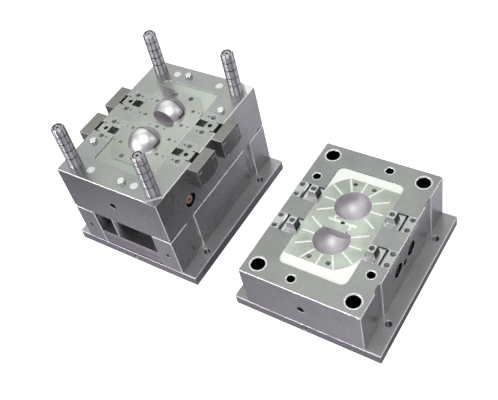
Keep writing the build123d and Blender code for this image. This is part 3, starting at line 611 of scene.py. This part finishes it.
lifting_hole = (0.0, 0.228, 0.0100)
spacer_hole = (0.131, 0.091, 0.0065)
# The bores are painted dark as shade.
for hole_across, hole_height, radius in (lifting_hole, spacer_hole):
    off_hole = distance(tree, offset(tree, z, hole_height), offset(tree, across, hole_across))
    inside = below(tree, off_hole, radius + 0.0002, radius + 0.0004)
    bored = both(tree, inside, spread(tree, y, -0.2245, -0.2240))
    overlay(core_plate_steel, bored, hollow_shade_and_joint_dark, rough=0.4)

# The water port's pocket is painted dark as shade.
port_y = -0.1135
port_height = 0.204
off_port = distance(tree, offset(tree, y, port_y), offset(tree, z, port_height))
port_pocket = both(tree, below(tree, off_port, 0.0200, 0.0203), below(tree, x, -0.1016, -0.1013))
overlay(core_plate_steel, port_pocket, hollow_shade_and_joint_dark, rough=0.5)
dress(core_plate_steel, "core_plate", "spacer_block_left", "spacer_block_right")
print("core plate and spacer blocks dressed")

# %% Plates: cover half
cover_plate_steel = steel("cover_plate_steel", **plate_look)
tree = cover_plate_steel.node_tree
x, y, z = point(cover_plate_steel)
# Painted shade: the cover half's plate darkens to the left.
fade(cover_plate_steel, x, start=0.12, end=0.34, low=0.76, high=1.0)
across = size_of(tree, offset(tree, x, cover_x))
along = size_of(tree, y)
chamfers = outer_chamfers(cover_plate_steel, across, along, z, (cover_top, clamp_top))
# Painted highlight on the filed outer chamfers.
overlay(cover_plate_steel, chamfers, bare_and_lit_white, rough=0.25, metallic=0.3)
# Walls and floors of the pockets are painted dark as shade.
within = both(tree, between(tree, across, -0.001, 0.1440), between(tree, along, -0.001, 0.2235))
walls_and_floors = any_of(tree, upright(cover_plate_steel), below(tree, z, 0.1150, 0.1160))
overlay(cover_plate_steel, both(tree, within, walls_and_floors), pocket_shade, rough=0.4)
# The sunk ports are painted dark as shade.
beside_ports = both(tree, between(tree, x, 0.3500, 0.4205, 0.0003), between(tree, along, -0.001, 0.0700))
sunk_ports = both(tree, beside_ports, below(tree, z, 0.1300, 0.1310))
overlay(cover_plate_steel, sunk_ports, hollow_shade_and_joint_dark, rough=0.4)
dress(cover_plate_steel, "cavity_plate")
print("cavity plate dressed")

# %% Clamp plates
clamp_plate_steel = steel(
    "clamp_plate_steel", light=(0.47, 0.46, 0.48), dark=(0.40, 0.39, 0.41), smooth=0.28, rough=0.40,
    metallic=0.65, edge=0.003,
)
tree = clamp_plate_steel.node_tree
# Painted shade on the upright sides, and a painted highlight on the chamfers.
overlay(clamp_plate_steel, upright(clamp_plate_steel), (0.22, 0.21, 0.23), rough=0.34)
overlay(clamp_plate_steel, slanted(clamp_plate_steel), (0.80, 0.80, 0.83), rough=0.30, metallic=0.3)
x, y, z = point(clamp_plate_steel)
# Painted shade on the clamp plate's top under the ejector plates.
under_plates = both(tree, between(tree, x, -0.3580, -0.1640), between(tree, y, -0.2238, 0.2238))
top_face = spread(tree, z, 0.0296, 0.0299)
overlay(clamp_plate_steel, both(tree, under_plates, top_face), deep_shade, rough=0.5)
dress(clamp_plate_steel, "ejector_clamp_plate", "cover_clamp_plate")
print("clamp plates dressed")

# %% [markdown]
# ## Inserts
# The two inserts carry the shape of the casting. Their faces are finely ground, and fades of painted
# shade darken the core insert towards the near end and to the left. The lowered ends, the vents and
# the runner are freshly milled and carry a painted highlight, nearly white on the cover half. The
# bowls there are polished to a soft lilac shine, with a painted highlight towards the bottom. Both
# bowls lie at the same distance from the middle, so Y is folded over with an Absolute node and one
# ball stands for the two.

# %% Inserts
core_insert_steel = steel(
    "core_insert_steel", light=(0.45, 0.46, 0.44), dark=(0.37, 0.38, 0.36), smooth=0.12, rough=0.22,
    metallic=0.88, edge=0.0005, soften=False,
)
x, y, z = point(core_insert_steel)
# Painted highlight on the milled lowered ends.
milled = between(core_insert_steel.node_tree, z, 0.2955, 0.2993)
overlay(core_insert_steel, milled, (0.50, 0.53, 0.49), rough=0.30, metallic=0.7)
# Painted shade: the core insert darkens towards the near end and to the left.
fade(core_insert_steel, y, start=-0.17, end=-0.03, low=0.74, high=1.0)
fade(core_insert_steel, x, start=-0.33, end=-0.20, low=0.92, high=1.08)
dress(core_insert_steel, "core_insert")

bowl_centre = (cover_x, 0.056, 0.17045)
cavity_insert_steel = steel(
    "cavity_insert_steel", light=(0.55, 0.60, 0.54), dark=(0.36, 0.38, 0.35), smooth=0.18, rough=0.30,
    clouds=11.0, metallic=0.8, edge=0.0022, soften=False,
)
tree = cavity_insert_steel.node_tree
x, y, z = point(cavity_insert_steel)
# Painted highlight: the milled ends, vents and runner are painted nearly white.
milled = between(tree, z, 0.1590, 0.1634)
overlay(cavity_insert_steel, milled, (0.97, 1.0, 0.95), rough=0.40, metallic=0.05)
folded = place_node(tree, "ShaderNodeCombineXYZ")
for slot, part in enumerate((x, size_of(tree, y), z)):
    tree.links.new(part, folded.inputs[slot])
from_centre = place_node(tree, "ShaderNodeVectorMath", operation="DISTANCE")
tree.links.new(folded.outputs[0], from_centre.inputs[0])
from_centre.inputs[1].default_value = bowl_centre
in_ball = below(tree, from_centre.outputs["Value"], 0.0468, 0.0471)
bowl = both(tree, in_ball, below(tree, z, 0.1636, 0.1638))
overlay(cavity_insert_steel, bowl, (0.52, 0.49, 0.53), rough=0.54)
# Painted highlight towards the bottom of each bowl.
bowl_bottom_highlight = both(tree, bowl, spread(tree, z, 0.142, 0.126))
overlay(cavity_insert_steel, bowl_bottom_highlight, (0.70, 0.67, 0.71), rough=0.54)
dress(cavity_insert_steel, "cavity_insert")
print("inserts dressed")

# %% [markdown]
# ## Ball cores
# The ball cores are turned and polished to a pale shine. A dark seam line runs round each of them.
# The flat of the far one faces the near side and is painted dark as shade, and so are their feet,
# where they sink into the insert.

# %% Ball cores
core_steel = steel(
    "polished_core_steel", light=(0.88, 0.86, 0.89), dark=(0.78, 0.76, 0.80), smooth=0.36, rough=0.50,
    metallic=0.85, streaks=0.1, edge=0.0004, soften=False,
)
tree = core_steel.node_tree
_, y, z = point(core_steel)
seam_tone = (0.07, 0.065, 0.075)
seam_far = between(tree, y, 0.0677, 0.0703)
seam_near = between(tree, y, -0.0443, -0.0417)
overlay(core_steel, any_of(tree, seam_far, seam_near), seam_tone, rough=0.5)
# Painted shade on the flat of the far ball core.
flat_shade = spread(tree, facing(core_steel)["Y"], -0.95, -0.98)
overlay(core_steel, flat_shade, (0.24, 0.22, 0.25), rough=0.5)
# Painted shade on the feet of the ball cores.
foot_shade = below(tree, z, 0.3003, 0.3006)
overlay(core_steel, foot_shade, (0.46, 0.44, 0.46), rough=0.36)
dress(core_steel, "ball_core_far", "ball_core_near")
print("ball cores dressed")

# %% [markdown]
# ## Guide pins and bushes
# The guide pins were ground while they turned, so fine marks run round them and smear every
# reflection along the pin. That is what the Anisotropic value of the shader does, and its rotation
# turns the smear by a quarter. Their grooves are painted dark as shade: a mask darkens every point
# that lies nearer to the pin's axis than its skin. A thin ring of painted shade in the tip marks the
# brink of its recess. The bushes are bright, with a bore painted dark as shade.

# %% Guide pins and bushes
pin_across = 0.125
pin_along = 0.190
full_smear = 1.0
quarter_turn = 0.25
pin_steel = steel(
    "polished_pin_steel", light=(0.66, 0.65, 0.69), dark=(0.52, 0.51, 0.55), smooth=0.36, rough=0.40,
    streaks=0.0, edge=0.0006, relief=0.00005,
)
tree = pin_steel.node_tree
x, y, z = point(pin_steel)
across = size_of(tree, offset(tree, x, core_x))
off_axis = distance(tree, offset(tree, across, pin_across), offset(tree, size_of(tree, y), pin_along))
# Painted shade in the grooves.
groove_shade = both(tree, between(tree, off_axis, 0.0, 0.0171), between(tree, z, 0.158, 0.4222))
overlay(pin_steel, groove_shade, (0.05, 0.05, 0.06), rough=0.45)
# Painted shade round the brink of the recess in the tip.
brink_shade = both(tree, between(tree, off_axis, 0.0090, 0.0116), spread(tree, z, 0.4256, 0.4262))
overlay(pin_steel, brink_shade, (0.06, 0.06, 0.07), rough=0.4)
pin_shader = tree.nodes["Principled BSDF"]
pin_shader.inputs["Anisotropic"].default_value = full_smear
pin_shader.inputs["Anisotropic Rotation"].default_value = quarter_turn
dress(pin_steel, *at_corners("guide_pin"))

stud_steel = steel(
    "ground_stud_steel", light=(0.74, 0.74, 0.75), dark=(0.62, 0.62, 0.64), smooth=0.16, rough=0.30,
    streaks=0.0, relief=0.0001,
)
dress(stud_steel, "locating_pins", "return_pins")

bush_steel = steel(
    "ground_bush_steel", light=(0.90, 0.90, 0.90), dark=(0.80, 0.80, 0.81), smooth=0.18, rough=0.32,
    streaks=0.0, metallic=0.5, relief=0.0001,
)
# The bore is painted dark as shade.
overlay(bush_steel, upright(bush_steel), deep_shade, rough=0.3, metallic=0.95)
dress(bush_steel, *at_corners("guide_bush"), "locating_bushes")
print("pins and bushes dressed")

# %% [markdown]
# ## Slides and locking heels
# The slides and their strips are hardened and ground, and the stop blocks behind them are milled
# and dark. On the cover half the heels and wear plates are fresh and bright on top, while the
# leaning faces that rub on the slides are painted dark as shade. The Normal of the coordinates tells
# those faces from the rest.

# %% Slides, strips, heels and wear plates
slide_steel = steel(
    "hardened_slide_steel", light=(0.43, 0.43, 0.43), dark=(0.35, 0.35, 0.35), smooth=0.18, rough=0.32,
    metallic=0.85,
)
dress(slide_steel, *at_corners("slide"), *at_corners("slide_strips"))

block_steel = steel(
    "milled_block_steel", light=(0.25, 0.25, 0.24), dark=(0.22, 0.21, 0.20), smooth=0.26, rough=0.34,
    metallic=0.85, edge=0.002,
)
dress(block_steel, *at_corners("stop_block"))

heel_steel = steel(
    "bright_heel_steel", light=(0.70, 0.70, 0.72), dark=(0.56, 0.56, 0.58), smooth=0.20, rough=0.34,
    metallic=0.6,
)
tree = heel_steel.node_tree
# Painted shade on the leaning faces of the heels.
sidelong = spread(tree, size_of(tree, facing(heel_steel)["X"]), 0.65, 0.75)
leaning = both(tree, sidelong, between(tree, point(heel_steel)["Z"], 0.160, 0.1838))
overlay(heel_steel, leaning, deep_shade, rough=0.35)
dress(heel_steel, *at_corners("locking_heel"))

wear_steel = steel(
    "bright_wear_steel", light=(0.60, 0.61, 0.61), dark=(0.48, 0.49, 0.49), smooth=0.20, rough=0.34,
    metallic=0.65,
)
dress(wear_steel, *at_corners("wear_plate"))
print("slides and heels dressed")

# %% [markdown]
# ## The rest
# The ejector plates are plain, with a dark line where the two meet and a painted highlight along the
# upper edge, and the support pillars are bright. Ejector pins are nitrided to a dark grey, screws are
# blackened, and the water fittings are turned brass, painted nearly black as shade on the cover half.

# %% Ejector set and pillars
inner_steel = steel(
    "turned_inner_steel", light=(0.37, 0.36, 0.38), dark=(0.30, 0.29, 0.31), smooth=0.28, rough=0.42
)
tree = inner_steel.node_tree
height = point(inner_steel)["Z"]
plate_joint = between(tree, height, 0.0573, 0.0587, 0.0003)
overlay(inner_steel, plate_joint, hollow_shade_and_joint_dark, rough=0.5)
# Painted highlight along the upper edge of the ejector plates.
upper_edge_highlight = between(tree, height, 0.0785, 0.0797, 0.0003)
overlay(inner_steel, upper_edge_highlight, (0.90, 0.90, 0.93), rough=0.3)
dress(inner_steel, "ejector_base_plate", "ejector_retainer_plate", "rest_buttons", "sprue_bush")

pillar_steel = steel(
    "bright_pillar_steel", light=(0.86, 0.85, 0.88), dark=(0.74, 0.73, 0.77), smooth=0.20, rough=0.36,
    metallic=0.7,
)
dress(pillar_steel, "support_pillars")

nitrided_steel = steel(
    "nitrided_pin_steel", light=(0.20, 0.20, 0.20), dark=(0.13, 0.13, 0.13), smooth=0.28, rough=0.42,
    streaks=0.2,
)
dress(nitrided_steel, "ejector_pins", "small_ejector_pins", "runner_ejector_pins")
print("ejector set dressed")

# %% Screws and fittings
screw_steel = steel(
    "blackened_screw_steel", light=(0.14, 0.14, 0.15), dark=(0.07, 0.07, 0.08), smooth=0.28, rough=0.42,
    streaks=0.1,
)
dress(screw_steel, *[name for name in nodes if name.endswith("_screws")], "strip_dowels")

brass = steel(
    "turned_brass", light=(0.85, 0.55, 0.38), dark=(0.70, 0.42, 0.28), smooth=0.22, rough=0.36, streaks=0.1
)
# The fittings on the cover half are painted nearly black as shade, as they sit in the sunk ports.
cover_side = spread(brass.node_tree, point(brass)["X"], -0.01, 0.01)
overlay(brass, cover_side, pocket_shade, rough=0.4)
dress(brass, "water_fittings")
print("all nodes dressed")
